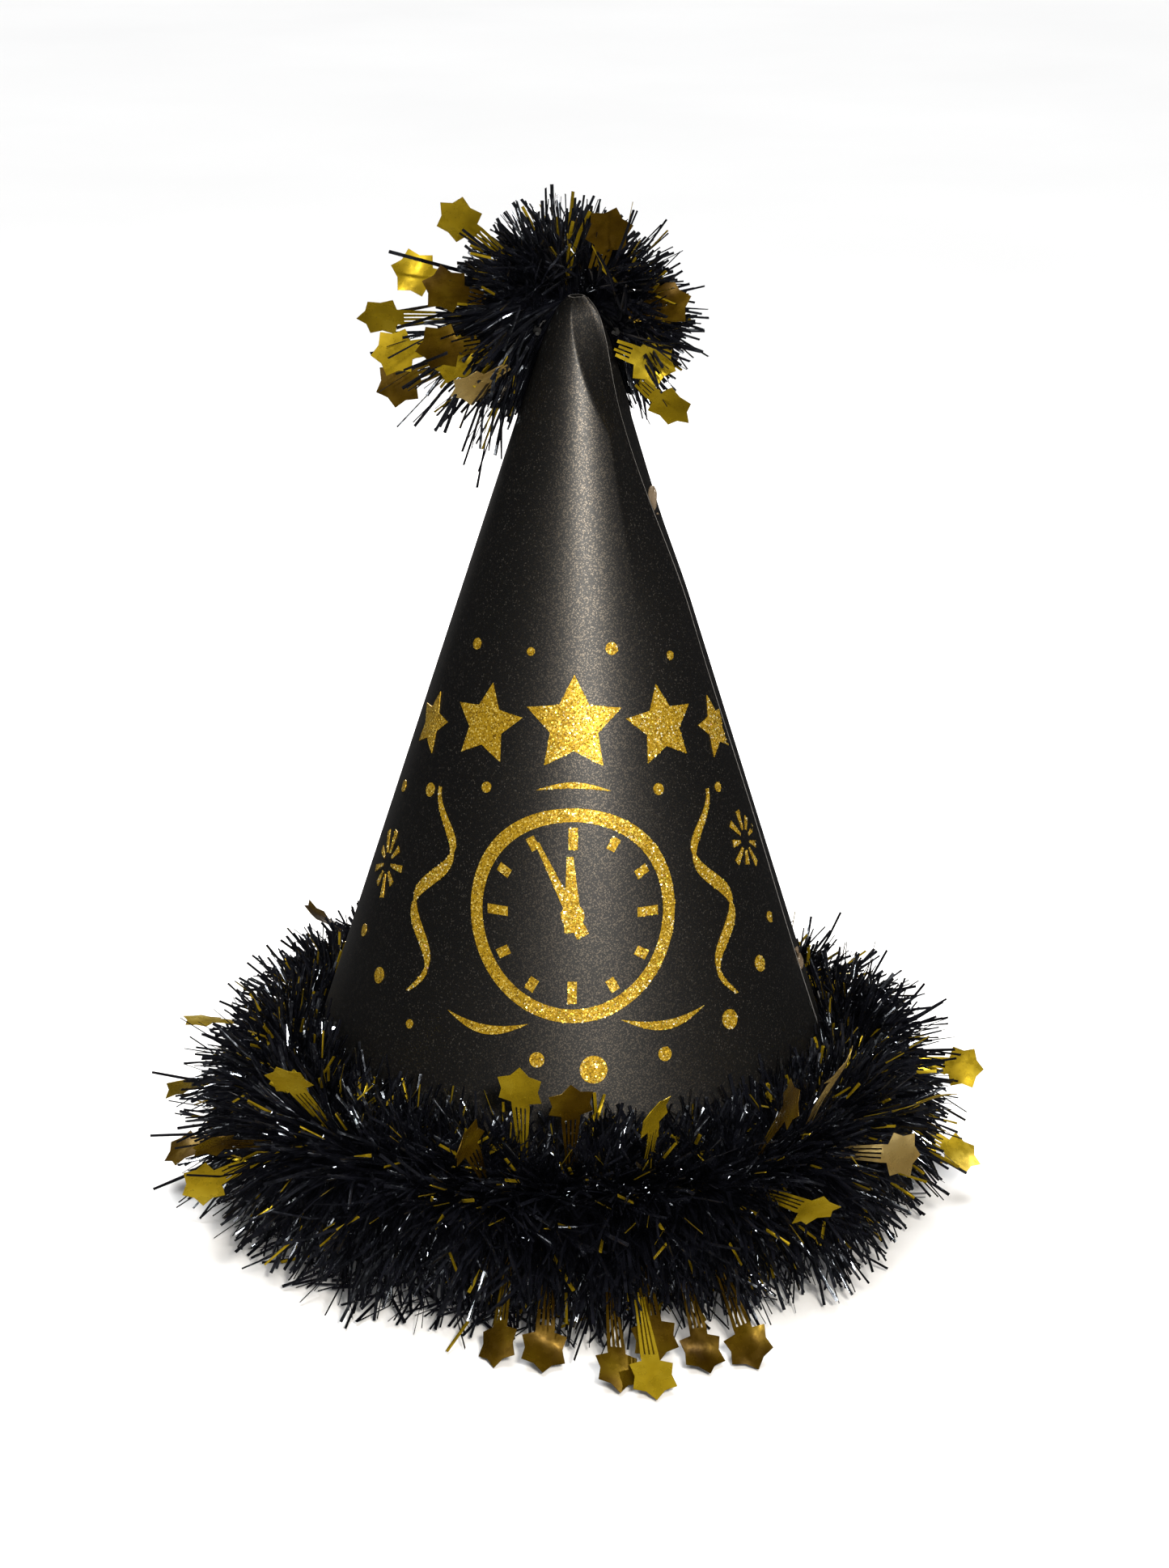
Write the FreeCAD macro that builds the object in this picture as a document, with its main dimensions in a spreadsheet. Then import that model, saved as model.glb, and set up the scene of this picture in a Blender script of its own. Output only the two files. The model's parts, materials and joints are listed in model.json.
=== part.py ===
"""Cone party hat of black card with a tinsel brim, a tinsel pom and gold film stars.

Frame: millimetres, +Z up along the cone's axis, origin at the middle of the surface
the hat stands on. The printed front faces -Y. Azimuths are in degrees, counted from
the front (-Y) towards the wearer's left (+X).
"""
import FreeCAD, Part
import math
import os
from FreeCAD import Vector

doc = FreeCAD.newDocument("PartyHat")

# ---------------------------------------------------------------- driving dimensions
DIMENSIONS = [
    ("brim_rise", 27.0, "height of the card's lower edge above the table"),
    ("brim_radius", 70.0, "outer radius of the card at its lower edge"),
    ("cone_rise", 220.0, "brim to the point where the cone would close"),
    ("card_rise", 204.0, "brim to the cut top of the card"),
    ("card_thick", 0.47, "card thickness, measured across the axis"),
    ("ply_gap", 0.10, "gap between the two card layers at the seam"),
    ("flap_azimuth", 78.0, "azimuth of the outer layer's free edge"),
    ("flap_overlap", 24.0, "angle over which the card is doubled"),
    ("tape_width", 12.0, "angle covered by the seam tape"),
    ("tape_margin", 5.0, "angle from the flap's edge to the tape"),
    ("tape_low", 6.0, "card's lower edge to the tape"),
    ("tape_high", 30.0, "tape to the card's cut top"),
    ("clearance", 0.30, "space between the soft solids and their neighbours"),
    ("core_radius", 1.0, "radius of a tinsel garland's twisted core"),
    ("ring_radius", 71.6, "brim garland's core ring"),
    ("ring_rise", 29.0, "height of the brim garland's core"),
    ("ring_sweep", 356.0, "angle that the brim garland's core covers"),
    ("pile_rise", 22.5, "height of the middle of the brim's tinsel, which hangs below its core"),
    ("pile_radius", 25.0, "radius of the brim's tinsel in section"),
    ("pile_foot", 61.0, "inner radius of the tinsel that rests on the table"),
    ("pile_throat", 67.0, "inner radius of the tinsel under the card's edge"),
    ("pom_ring_radius", 9.6, "pom garland's core, bent round the tip"),
    ("pom_ring_rise", 223.0, "height of the pom garland's core"),
    ("pom_sweep", 220.0, "angle that the pom garland's core covers"),
    ("pom_radius", 31.0, "radius of the pom's tinsel ball"),
    ("pom_back", 6.0, "distance of the pom's centre behind the axis"),
    ("pom_rise", 224.0, "height of the pom's centre"),
    ("pom_front", 4.0, "distance of the pom's flat front before the axis"),
    ("glue_radius", 0.45, "section radius of a glue bead"),
    ("brim_glue_sweep", 8.0, "angle covered by one glue bead at the brim"),
    ("tip_glue_sweep", 24.0, "angle covered by one glue bead at the tip"),
    ("film_thick", 0.20, "thickness of the gold film"),
    ("star_tip", 6.0, "star centre to a point"),
    ("star_notch", 4.4, "star centre to a notch"),
    ("stem_end", 5.0, "star centre to the end of its stem"),
    ("print_from", 270.0, "azimuth where the printed area starts, a full turn added"),
    ("print_to", 434.0, "azimuth where the printed area ends, a full turn added"),
    ("print_low", 24.0, "card's lower edge to the printed area"),
    ("print_high", 135.0, "card's lower edge to the top of the printed area"),
    ("print_lift", 0.02, "gap between card and glitter print"),
    ("print_thick", 0.15, "thickness of the glitter print"),
]

sheet = doc.addObject("Spreadsheet::Sheet", "dims")
for row, (alias, value, note) in enumerate(DIMENSIONS, start=1):
    sheet.set(f"A{row}", alias)
    sheet.set(f"B{row}", str(value))
    sheet.setAlias(f"B{row}", alias)
    sheet.set(f"C{row}", note)
doc.recompute()


def size(alias):
    """Value of one driving dimension."""
    return float(sheet.get(alias))


subparts = []


def keep(node, label):
    """Name a finished sub-part; its label is its file's name."""
    node.Label = label
    subparts.append(node)
    return node


def bind(item, **cells):
    """Tie properties of an object to cells of the sheet."""
    for prop, expression in cells.items():
        item.setExpression(prop, expression)


def feature(label, shape):
    """Sub-part whose shape comes from Part's own functions."""
    node = doc.addObject("Part::Feature", label)
    node.Shape = shape
    return keep(node, label)


def compound(label, members):
    """Sub-part made of several separate solids."""
    node = doc.addObject("Part::Compound", label)
    node.Links = members
    return keep(node, label)


# ------------------------------------------------------------------ the card's geometry
APEX_Z = size("brim_rise") + size("cone_rise")
CARD_TOP = size("brim_rise") + size("card_rise")
FLARE = size("brim_radius") / size("cone_rise")
SLOPE = math.atan(FLARE)
PITCH = size("card_thick") + size("ply_gap")
SHEET_END = 360.0 + size("flap_azimuth")
SHEET_START = size("flap_azimuth") - size("flap_overlap")


def card_radius(z):
    """Radius of the card's outer surface at the flap's edge, where it is widest."""
    return (APEX_Z - z) * FLARE


def around(azimuth, radius, z):
    """Point at an azimuth, a distance from the axis and a height."""
    turn = math.radians(azimuth)
    return Vector(radius * math.sin(turn), -radius * math.cos(turn), z)


def smooth_edge(points, closed=False):
    """Smooth curve through points."""
    curve = Part.BSplineCurve()
    curve.interpolate(Points=points, PeriodicFlag=closed)
    return curve.toShape()


def spiral_profile(start, end, z, low, high):
    """Closed outline of the rolled sheet at one height.

    The sheet winds outwards by one pitch in a full turn. low and high are the radial
    places of its two faces, counted outwards from the card's outer face.
    """
    steps = max(6, round((end - start) / 8.0))
    turns = [start + (end - start) * step / steps for step in range(steps + 1)]

    def face(lift):
        widest = card_radius(z) + lift
        return [around(turn, widest - PITCH * (SHEET_END - turn) / 360.0, z) for turn in turns]

    outer, inner = face(high), face(low)
    return Part.Wire([
        smooth_edge(outer),
        Part.makeLine(outer[-1], inner[-1]),
        smooth_edge(inner[::-1]),
        Part.makeLine(inner[0], outer[0]),
    ])


def rolled_sheet(start, end, z_low, z_high, low, high):
    """Solid sheet rolled on the cone between two azimuths and two heights."""
    profiles = [spiral_profile(start, end, z, low, high) for z in (z_low, z_high)]
    return Part.makeLoft(profiles, True, True)


def make_card():
    card = rolled_sheet(SHEET_START, SHEET_END, size("brim_rise"), CARD_TOP, -size("card_thick"), 0.0)
    feature("cone_card", card)


def make_seam_tape():
    """Double-sided tape between the two layers, near the flap's edge."""
    end = SHEET_END - size("tape_margin")
    skin = 0.01
    tape = rolled_sheet(
        end - size("tape_width"), end, size("brim_rise") + size("tape_low"), CARD_TOP - size("tape_high"),
        skin - PITCH, -size("card_thick") - skin)
    feature("seam_tape", tape)


# height above the card's lower edge and half sizes of each glue drop: through the card,
# round it and up its slope
GLUE_DROPS = [(158.0, 0.40, 0.5, 0.8), (152.5, 0.40, 0.5, 0.8), (38.0, 0.55, 1.5, 3.5)]


def make_seam_glue():
    """Drops of clear glue squeezed out beside the flap's edge, just clear of the card."""
    drops = []
    beside, proud = 0.2, 0.15
    for rise, radial, wide, tall in GLUE_DROPS:
        z = size("brim_rise") + rise
        under = card_radius(z) - PITCH
        turn = size("flap_azimuth") + math.degrees((wide + beside) / under)
        drop = doc.addObject("Part::Ellipsoid", "glue_drop")
        drop.Radius1, drop.Radius2, drop.Radius3 = tall, wide, radial
        drop.Placement = FreeCAD.Placement(
            around(turn, under + radial + proud, z),
            FreeCAD.Rotation(Vector(0, 0, 1), turn) * FreeCAD.Rotation(Vector(1, 0, 0), -math.degrees(SLOPE)))
        drops.append(drop)
    compound("seam_glue_drops", drops)


# -------------------------------------------------------------------- sketches and bodies
def plane(body, role):
    """One of the origin planes of a body."""
    return next(item for item in body.Origin.OriginFeatures if item.Role == role)


def new_sketch(body, name, role, loop):
    """Sketch of one closed loop, its pieces joined end to end."""
    sketch = body.newObject("Sketcher::SketchObject", name)
    sketch.AttachmentSupport = (plane(body, role), [""])
    sketch.MapMode = "FlatFace"
    sketch.addGeometry(loop, False)
    return sketch


def polygon(points):
    """Straight edges through points and back to the first."""
    return [Part.LineSegment(a, b) for a, b in zip(points, points[1:] + points[:1])]


# ------------------------------------------------------------------------ brim garland
def make_garland_core():
    core = doc.addObject("Part::Torus", "garland_core")
    bind(core, Radius1="dims.ring_radius", Radius2="dims.core_radius", Angle3="dims.ring_sweep")
    # the two ends of the core meet under the seam; a torus starts at +X, azimuth 90
    start = size("flap_azimuth") + (360.0 - size("ring_sweep")) / 2
    core.Placement = FreeCAD.Placement(
        Vector(0, 0, size("ring_rise")), FreeCAD.Rotation(Vector(0, 0, 1), start - 90.0))
    keep(core, "garland_core")


def pile_outline():
    """Half section of the brim's tinsel, x outwards and y upwards.

    It hugs the card's outer face, rests on the table and leaves a slot for the core.
    """
    gap, reach = size("clearance"), size("pile_radius")
    middle = Vector(size("ring_radius"), size("pile_rise"), 0)
    core = Vector(size("ring_radius"), size("ring_rise"), 0)
    slot = size("core_radius") + gap

    def beside_card(height):
        return Vector(card_radius(height) + gap / math.cos(SLOPE), height, 0)

    def on_circle(turn):
        return middle + Vector(math.cos(turn), math.sin(turn), 0) * reach

    # angle where the pile's circle meets the card, by stepping towards it
    top_turn = math.radians(110.0)
    for _ in range(20):
        point = on_circle(top_turn)
        top_turn += (point.x - beside_card(point.y).x) / reach
    foot_turn = -math.asin(size("pile_rise") / reach)
    under = size("brim_rise") - gap
    below, above = core + Vector(0, -slot, 0), core + Vector(0, slot, 0)
    lower = [
        on_circle(foot_turn),
        Vector(size("pile_foot"), 0, 0),
        Vector(size("pile_throat"), under, 0),
        Vector(core.x, under, 0),
        below,
    ]
    upper = [above, beside_card(above.y), on_circle(top_turn)]
    crown = Part.Arc(on_circle(top_turn), on_circle((top_turn + foot_turn) / 2), on_circle(foot_turn))
    groove = Part.Arc(below, core + Vector(slot, 0, 0), above)
    loop = [crown]
    loop += [Part.LineSegment(a, b) for a, b in zip(lower, lower[1:])]
    loop += [groove]
    loop += [Part.LineSegment(a, b) for a, b in zip(upper, upper[1:])]
    return loop


def make_garland_pile():
    body = doc.addObject("PartDesign::Body", "garland_pile")
    sketch = new_sketch(body, "pile_section", "XZ_Plane", pile_outline())
    turned = body.newObject("PartDesign::Revolution", "pile_ring")
    turned.Profile = sketch
    turned.ReferenceAxis = (sketch, ["V_Axis"])
    turned.Angle = 360.0
    keep(body, "garland_pile")


def glue_beads(label, ring, rise, sweep, turns):
    """Short glue beads between the card and a garland core, at the given azimuths."""
    beads = []
    wall = card_radius(rise)
    for turn in turns:
        bead = doc.addObject("Part::Torus", label + "_bead")
        bead.Radius1 = (wall + ring - size("core_radius")) / 2
        bead.Angle3 = sweep
        bind(bead, Radius2="dims.glue_radius")
        bead.Placement = FreeCAD.Placement(
            Vector(0, 0, rise), FreeCAD.Rotation(Vector(0, 0, 1), turn - 90.0 - sweep / 2))
        beads.append(bead)
    compound(label, beads)


def make_brim_glue():
    """Twelve glue beads, evenly spaced."""
    turns = [15.0 + 30.0 * step for step in range(12)]
    ring, rise, sweep = size("ring_radius"), size("ring_rise"), size("brim_glue_sweep")
    glue_beads("brim_glue_beads", ring, rise, sweep, turns)


# --------------------------------------------------------------------------------- pom
def make_pom_core():
    core = doc.addObject("Part::Torus", "pom_core")
    bind(core, Radius1="dims.pom_ring_radius", Radius2="dims.core_radius", Angle3="dims.pom_sweep")
    core.Placement = FreeCAD.Placement(
        Vector(0, 0, size("pom_ring_rise")),
        FreeCAD.Rotation(Vector(0, 0, 1), 90.0 - size("pom_sweep") / 2))
    keep(core, "pom_core")


def make_tip_glue():
    """Three glue beads that hold the bent garland to the back of the card's tip."""
    turns = [130.0, 180.0, 230.0]
    ring, rise, sweep = size("pom_ring_radius"), size("pom_ring_rise"), size("tip_glue_sweep")
    glue_beads("tip_glue_beads", ring, rise, sweep, turns)


def make_pom_pile():
    """Ball of tinsel behind the tip, hollowed for the card and for its own core."""
    gap = size("clearance")
    ball = doc.addObject("Part::Sphere", "pom_ball")
    bind(ball, Radius="dims.pom_radius")
    bind(ball, **{"Placement.Base.y": "dims.pom_back", "Placement.Base.z": "dims.pom_rise"})

    side = 4 * size("pom_radius")
    front = doc.addObject("Part::Box", "pom_front_space")
    front.Length = front.Width = front.Height = side
    front.Placement.Base = Vector(-side / 2, -side - size("pom_front"), size("pom_rise") - side / 2)

    low = size("pom_rise") - 1.2 * size("pom_radius")
    clear = gap / math.cos(SLOPE)
    card = doc.addObject("Part::Cone", "pom_card_space")
    card.Radius1 = card_radius(low) + clear
    card.Radius2 = card_radius(CARD_TOP + gap) + clear
    card.Height = CARD_TOP + gap - low
    card.Placement.Base = Vector(0, 0, low)

    slot = doc.addObject("Part::Torus", "pom_core_space")
    bind(slot, Radius1="dims.pom_ring_radius", Radius2="dims.core_radius + dims.clearance")
    slot.Placement.Base = Vector(0, 0, size("pom_ring_rise"))

    bead = 2 * size("glue_radius") + 2 * gap
    glue = doc.addObject("Part::Cylinder", "pom_glue_space")
    glue.Height = bead
    bind(glue, Radius="dims.pom_ring_radius")
    glue.Placement.Base = Vector(0, 0, size("pom_ring_rise") - bead / 2)

    spaces = doc.addObject("Part::MultiFuse", "pom_spaces")
    spaces.Shapes = [front, card, slot, glue]
    pile = doc.addObject("Part::Cut", "pom_pile")
    pile.Base, pile.Tool = ball, spaces
    keep(pile, "pom_pile")


# ---------------------------------------------------------------------------- gold stars
def star_outline():
    """Fat star of five points whose sixth place is its stem."""
    tip, notch, end = size("star_tip"), size("star_notch"), size("stem_end")
    points = []
    for step in range(11):
        turn = math.radians(-60.0 + 30.0 * step)
        reach = notch if step % 2 == 0 else tip
        points.append(Vector(reach * math.cos(turn), reach * math.sin(turn), 0))
    half = points[0].x
    return polygon(points + [Vector(-half, -end, 0), Vector(half, -end, 0)])


def make_star(label, middle, outward, across):
    """One film star; outward points away from its garland and across lies in its plane."""
    body = doc.addObject("PartDesign::Body", label)
    sketch = new_sketch(body, label + "_outline", "XY_Plane", star_outline())
    pad = body.newObject("PartDesign::Pad", label + "_film")
    pad.Profile = sketch
    pad.Midplane = True
    bind(pad, Length="dims.film_thick")
    body.Placement = FreeCAD.Placement(
        middle, FreeCAD.Rotation(across, outward, across.cross(outward), "YXZ"))
    keep(body, label)


# azimuth, lift above the horizontal, twist and distance from the garland's core of each
# brim star: a twist of 0 stands the film upright and one of 90 lays it along the brim
BRIM_STARS = [
    (0, 70, 80, 33), (13, 66, 50, 31), (-9, 80, 95, 32), (-15, 50, 20, 32), (35, 57, 25, 32),
    (48, 62, 75, 33), (-48, 54, 60, 32), (33, 12, 75, 33), (51, 17, 30, 31), (63, 28, 110, 32),
    (-57, 12, 40, 32), (-61, -14, 120, 32), (11.5, -38, 85, 35), (17.5, -39, 100, 39.5), (10, -32, 95, 46),
    (23.5, -36, 60, 41), (-10, -44, 60, 35), (6, -34, 110, 43), (-3.5, -42, 100, 36), (80, -27, 70, 33),
    (97, -9, 30, 33), (133, -24, 60, 33), (-82, -30, 100, 33.5), (-96, -20, 50, 33), (-107, -2, 80, 32),
    (-135, 22, 60, 31), (-150, -14, 100, 33), (160, 20, 70, 32), (-172, -34, 110, 45),
]

# angle round the pom as seen from the front, distance from its centre, distance behind
# the axis and tilt of each pom star
POM_STARS = [
    (140, 36.5, 6, 20), (165, 40, 9, -25), (163, 32, -5.5, 8), (181, 47, 12, 30), (189, 43.5, 0, -20),
    (186, 32, -10, 5), (194, 30, -5.2, -6), (202, 46.5, 13, -10), (208, 27.5, -8.5, 40), (73, 24.5, -7, -8),
    (18, 22, -7.5, 12), (339, 19, -8, 10), (322, 28, -9, -35), (90, 12, 44, 15), (250, 16, 43, -20),
]


def make_brim_stars():
    for number, (azimuth, lift, twist, reach) in enumerate(BRIM_STARS, start=1):
        outward = around(azimuth, 1.0, 0.0)
        tangent = around(azimuth + 90.0, 1.0, 0.0)
        rise, roll = math.radians(lift), math.radians(twist)
        along = outward * math.cos(rise) + Vector(0, 0, math.sin(rise))
        upright = Vector(0, 0, math.cos(rise)) - outward * math.sin(rise)
        across = upright * math.cos(roll) + tangent * math.sin(roll)
        middle = around(azimuth, size("ring_radius"), size("ring_rise")) + along * reach
        make_star(f"brim_star_{number:02d}", middle, along, across)


def make_pom_stars():
    centre = Vector(0, 0, size("pom_rise"))
    for number, (angle, reach, back, tilt) in enumerate(POM_STARS, start=1):
        turn = math.radians(angle)
        away = Vector(math.cos(turn), 0, math.sin(turn))
        sideways = Vector(-math.sin(turn), 0, math.cos(turn))
        lean = math.radians(tilt)
        across = sideways * math.cos(lean) + Vector(0, math.sin(lean), 0)
        make_star(f"pom_star_{number:02d}", centre + away * reach + Vector(0, back, 0), away, across)


# --------------------------------------------------------------------------- glitter print
def print_sheet():
    """Thin sheet over the printed half of the card, from which each motif is cut."""
    low, edge = size("print_lift"), size("brim_rise")
    return rolled_sheet(
        size("print_from"), size("print_to"), edge + size("print_low"), edge + size("print_high"),
        low, low + size("print_thick"))


def mapped(rise, points):
    """Flat motif laid on the cone, as seen square on from in front of its middle.

    The middle is at a height above the card's lower edge. A point of the motif is
    (distance round the cone, distance up its slope).
    """
    laid = []
    for run, climb in points:
        height = size("brim_rise") + rise + climb * math.cos(SLOPE)
        radius = card_radius(height)
        laid.append(Vector(radius * math.sin(run / radius), 0, height))
    return laid


def punch(azimuth, face):
    """Cutter that stands on a flat face and points outwards at an azimuth."""
    cutter = face.extrude(Vector(0, -2 * size("brim_radius"), 0))
    cutter.rotate(Vector(0, 0, 0), Vector(0, 0, 1), azimuth)
    return cutter


def straight(azimuth, rise, points):
    """Cutter with straight sides."""
    laid = mapped(rise, points)
    return punch(azimuth, Part.Face(Part.makePolygon(laid + laid[:1])))


def smooth_face(rise, points):
    """Flat face with a smooth outline."""
    return Part.Face(Part.Wire([smooth_edge(mapped(rise, points), True)]))


def curved(azimuth, rise, points):
    """Cutter with a smooth outline."""
    return punch(azimuth, smooth_face(rise, points))


def ring(radius, count=24):
    """Circle of points."""
    turns = [2 * math.pi * step / count for step in range(count)]
    return [(radius * math.cos(turn), radius * math.sin(turn)) for turn in turns]


def ray(turn, start, end, half_start, half_end):
    """Tapered bar on a line from the middle, turned clockwise from straight up."""
    lean = math.radians(turn)
    out, side = (math.sin(lean), math.cos(lean)), (math.cos(lean), -math.sin(lean))
    corners = [(start, -half_start), (end, -half_end), (end, half_end), (start, half_start)]
    return [(out[0] * a + side[0] * b, out[1] * a + side[1] * b) for a, b in corners]


def printed(label, cutters):
    """Sub-part of glitter print: what the cutters take out of the print sheet."""
    pieces = [solid for cutter in cutters for solid in PRINT_SHEET.common(cutter).Solids]
    feature(label, Part.makeCompound(pieces))


def star_points(radius, points=5, fatness=0.5):
    """Star standing on two of its points."""
    outline = []
    for step in range(2 * points):
        turn = math.pi * step / points
        reach = radius if step % 2 == 0 else radius * fatness
        outline.append((reach * math.sin(turn), reach * math.cos(turn)))
    return outline


def make_star_row():
    """Row of five stars round the upper part of the print."""
    row = [(0, 109, 12.0), (36, 107, 10.0), (-36, 107, 10.0), (66, 102, 8.0), (-68, 102, 8.0)]
    cutters = [straight(azimuth, rise, star_points(radius)) for azimuth, rise, radius in row]
    printed("glitter_star_row", cutters)


def make_clock():
    """Clock face with twelve plain marks and both hands close to twelve."""
    rise, rim, stroke = 66.0, 25.5, 3.2
    face = smooth_face(rise, ring(rim, 48)).cut(smooth_face(rise, ring(rim - stroke, 48)))
    hub = curved(0, rise, ring(2.8))
    hands = [
        straight(0, rise, ray(-3, -4.0, 14.0, 2.2, 0.8)),
        straight(0, rise, ray(-27, -5.5, 19.0, 1.6, 0.5)),
    ]
    mark_end = rim - stroke - 1.4
    marks = []
    for step in range(12):
        mark = 5.2 if step % 3 == 0 else 3.2
        marks.append(straight(0, rise, ray(30 * step, mark_end - mark, mark_end, 1.1, 1.1)))
    printed("glitter_clock", [punch(0, face), *marks, hub.fuse(hands).removeSplitter()])


def ribbon(length, swing, waves, thin, thick, count=28):
    """Outline of a waving ribbon that swells and thins along its length."""
    left, right = [], []
    for step in range(count + 1):
        part = step / count
        phase = 2 * math.pi * waves * part
        run = swing * math.sin(phase)
        half = thin + (thick - thin) * abs(math.cos(phase)) * math.sin(math.pi * part)
        climb = length * (part - 0.5)
        left.append((run - half, climb))
        right.append((run + half, climb))
    return left + right[::-1]


def make_streamers():
    """A waving streamer each side of the clock."""
    printed("glitter_streamer_left", [straight(-45, 66, ribbon(50.0, 4.4, 1.75, 0.5, 2.4))])
    printed("glitter_streamer_right", [straight(45, 66, ribbon(50.0, -4.4, 1.75, 0.5, 2.4))])


def make_bursts():
    """Bursts of tapered dashes beside the streamers."""
    cutters = []
    for azimuth, rise, inner, outer in [(-70, 66, 2.8, 8.6), (65, 74, 2.6, 7.6)]:
        for step in range(9):
            end = outer if step % 2 == 0 else 0.8 * outer
            cutters.append(straight(azimuth, rise, ray(40 * step, inner, end, 0.35, 0.9)))
    printed("glitter_bursts", cutters)


def make_dots():
    """Loose confetti dots around the motifs."""
    dots = [
        (-50, 124, 1.4), (-20, 125, 1.0), (17, 126, 1.5), (47, 122, 1.1), (-56, 88, 1.7),
        (-31, 93, 1.3), (30, 93, 1.4), (57, 89, 1.2), (-57, 42, 2.0), (-42, 35, 1.1),
        (-8, 33, 1.8), (5, 31, 3.3), (22, 33, 1.7), (41, 37, 2.4), (56, 46, 2.0),
        (67, 54, 1.4), (-72, 48, 1.6), (-76, 84, 1.5),
    ]
    printed("glitter_dots", [curved(azimuth, rise, ring(radius, 12)) for azimuth, rise, radius in dots])


def swash(length, bow, thick, count=16):
    """Outline of a bowed brush stroke, pointed at both ends."""
    upper, lower = [], []
    for step in range(count + 1):
        part = step / count
        run, climb = length * (part - 0.5), -bow * math.sin(math.pi * part)
        half = thick * math.sin(math.pi * part) / 2
        upper.append((run, climb + half))
        lower.append((run, climb - half))
    return upper + lower[-2:0:-1]


def make_swashes():
    """Two brush strokes under the clock and one above it."""
    strokes = [(-21, 41, 21.0, 2.6, 2.2), (23, 42, 22.0, 2.6, 2.2), (0, 94, 18.0, -1.6, 1.4)]
    printed("glitter_swashes", [straight(azimuth, rise, swash(length, bow, thick))
                                for azimuth, rise, length, bow, thick in strokes])


# ------------------------------------------------------------------------------ build it
make_card()
make_seam_tape()
make_seam_glue()
make_garland_core()
make_garland_pile()
make_brim_glue()
make_pom_core()
make_pom_pile()
make_tip_glue()
PRINT_SHEET = print_sheet()
make_star_row()
make_clock()
make_streamers()
make_bursts()
make_dots()
make_swashes()
make_brim_stars()
make_pom_stars()
doc.recompute()

for item in doc.Objects:
    if "Invalid" in item.State or "Error" in item.State:
        raise RuntimeError(f"{item.Label} failed: {item.State}")
for node in subparts:
    if node.Shape.isNull() or not node.Shape.isValid() or not node.Shape.Solids:
        raise RuntimeError(f"{node.Label} has no valid solid")

os.makedirs("parts", exist_ok=True)
for node in subparts:
    node.Shape.exportStep(f"parts/{node.Label}.step")
print(f"{len(subparts)} sub-parts written")
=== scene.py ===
"""Looks of a new year party hat.

A black card cone with a glitter print, tinsel round its brim and at its tip, and gold film
stars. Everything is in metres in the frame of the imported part: +Z up, the printed front
faces -Y. Azimuths are in degrees, counted from the front towards +X.
"""
import json
import math

import bpy
import numpy as np
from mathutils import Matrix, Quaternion, Vector
from mathutils.geometry import delaunay_2d_cdt

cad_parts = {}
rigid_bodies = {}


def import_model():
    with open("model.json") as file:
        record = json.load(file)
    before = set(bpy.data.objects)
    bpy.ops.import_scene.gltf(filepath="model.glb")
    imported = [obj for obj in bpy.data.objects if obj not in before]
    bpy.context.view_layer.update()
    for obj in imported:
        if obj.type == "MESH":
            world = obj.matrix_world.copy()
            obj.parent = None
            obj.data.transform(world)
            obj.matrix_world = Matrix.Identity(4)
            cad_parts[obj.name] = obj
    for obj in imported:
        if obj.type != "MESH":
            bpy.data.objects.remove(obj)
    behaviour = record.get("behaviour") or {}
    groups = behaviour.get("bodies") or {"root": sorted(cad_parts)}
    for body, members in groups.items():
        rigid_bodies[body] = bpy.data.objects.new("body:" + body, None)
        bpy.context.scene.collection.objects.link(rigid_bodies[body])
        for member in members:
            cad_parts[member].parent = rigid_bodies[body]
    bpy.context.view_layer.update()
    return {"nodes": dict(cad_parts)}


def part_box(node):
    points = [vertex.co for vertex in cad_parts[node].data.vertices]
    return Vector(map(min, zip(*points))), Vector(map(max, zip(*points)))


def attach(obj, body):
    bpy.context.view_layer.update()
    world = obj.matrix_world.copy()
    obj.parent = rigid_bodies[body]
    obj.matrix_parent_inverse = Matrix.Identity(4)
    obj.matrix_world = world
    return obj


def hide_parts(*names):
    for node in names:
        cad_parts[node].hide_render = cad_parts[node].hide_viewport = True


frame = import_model()
nodes = frame["nodes"]
ROOT = "root"
MM = 0.001
UP = np.array([0, 0, 1.0])


# ---- measures
def points_of(node):
    """Vertices of a CAD node as an array."""
    return np.array([v.co for v in nodes[node].data.vertices], float)


def unit(vectors):
    """Vectors scaled to length one."""
    return vectors / np.linalg.norm(vectors, axis=-1, keepdims=True)


card_low, card_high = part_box("cone_card")
card_points = points_of("cone_card")
card_reach = np.hypot(card_points[:, 0], card_points[:, 1])
BRIM_Z, TIP_Z = card_low.z, card_high.z
BRIM_RADIUS = card_reach.max()
TIP_RADIUS = card_reach[card_points[:, 2] > TIP_Z - MM].max()
FLARE = (BRIM_RADIUS - TIP_RADIUS) / (TIP_Z - BRIM_Z)
APEX_Z = TIP_Z + TIP_RADIUS / FLARE
CARD_THICK = 0.47 * MM
SPIRAL_PITCH = 0.57 * MM
FLAP_AZIMUTH, FLAP_OVERLAP = 78.0, 24.0
# the flap's edge runs askew: the azimuth that it tends to where the card is wide, and two
# lengths that say how far it moves to the front where the card is narrow
FLAP_LIMIT, FLAP_SKEW, FLAP_EASE = 85.3, 7.4 * MM, 18 * MM

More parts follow.
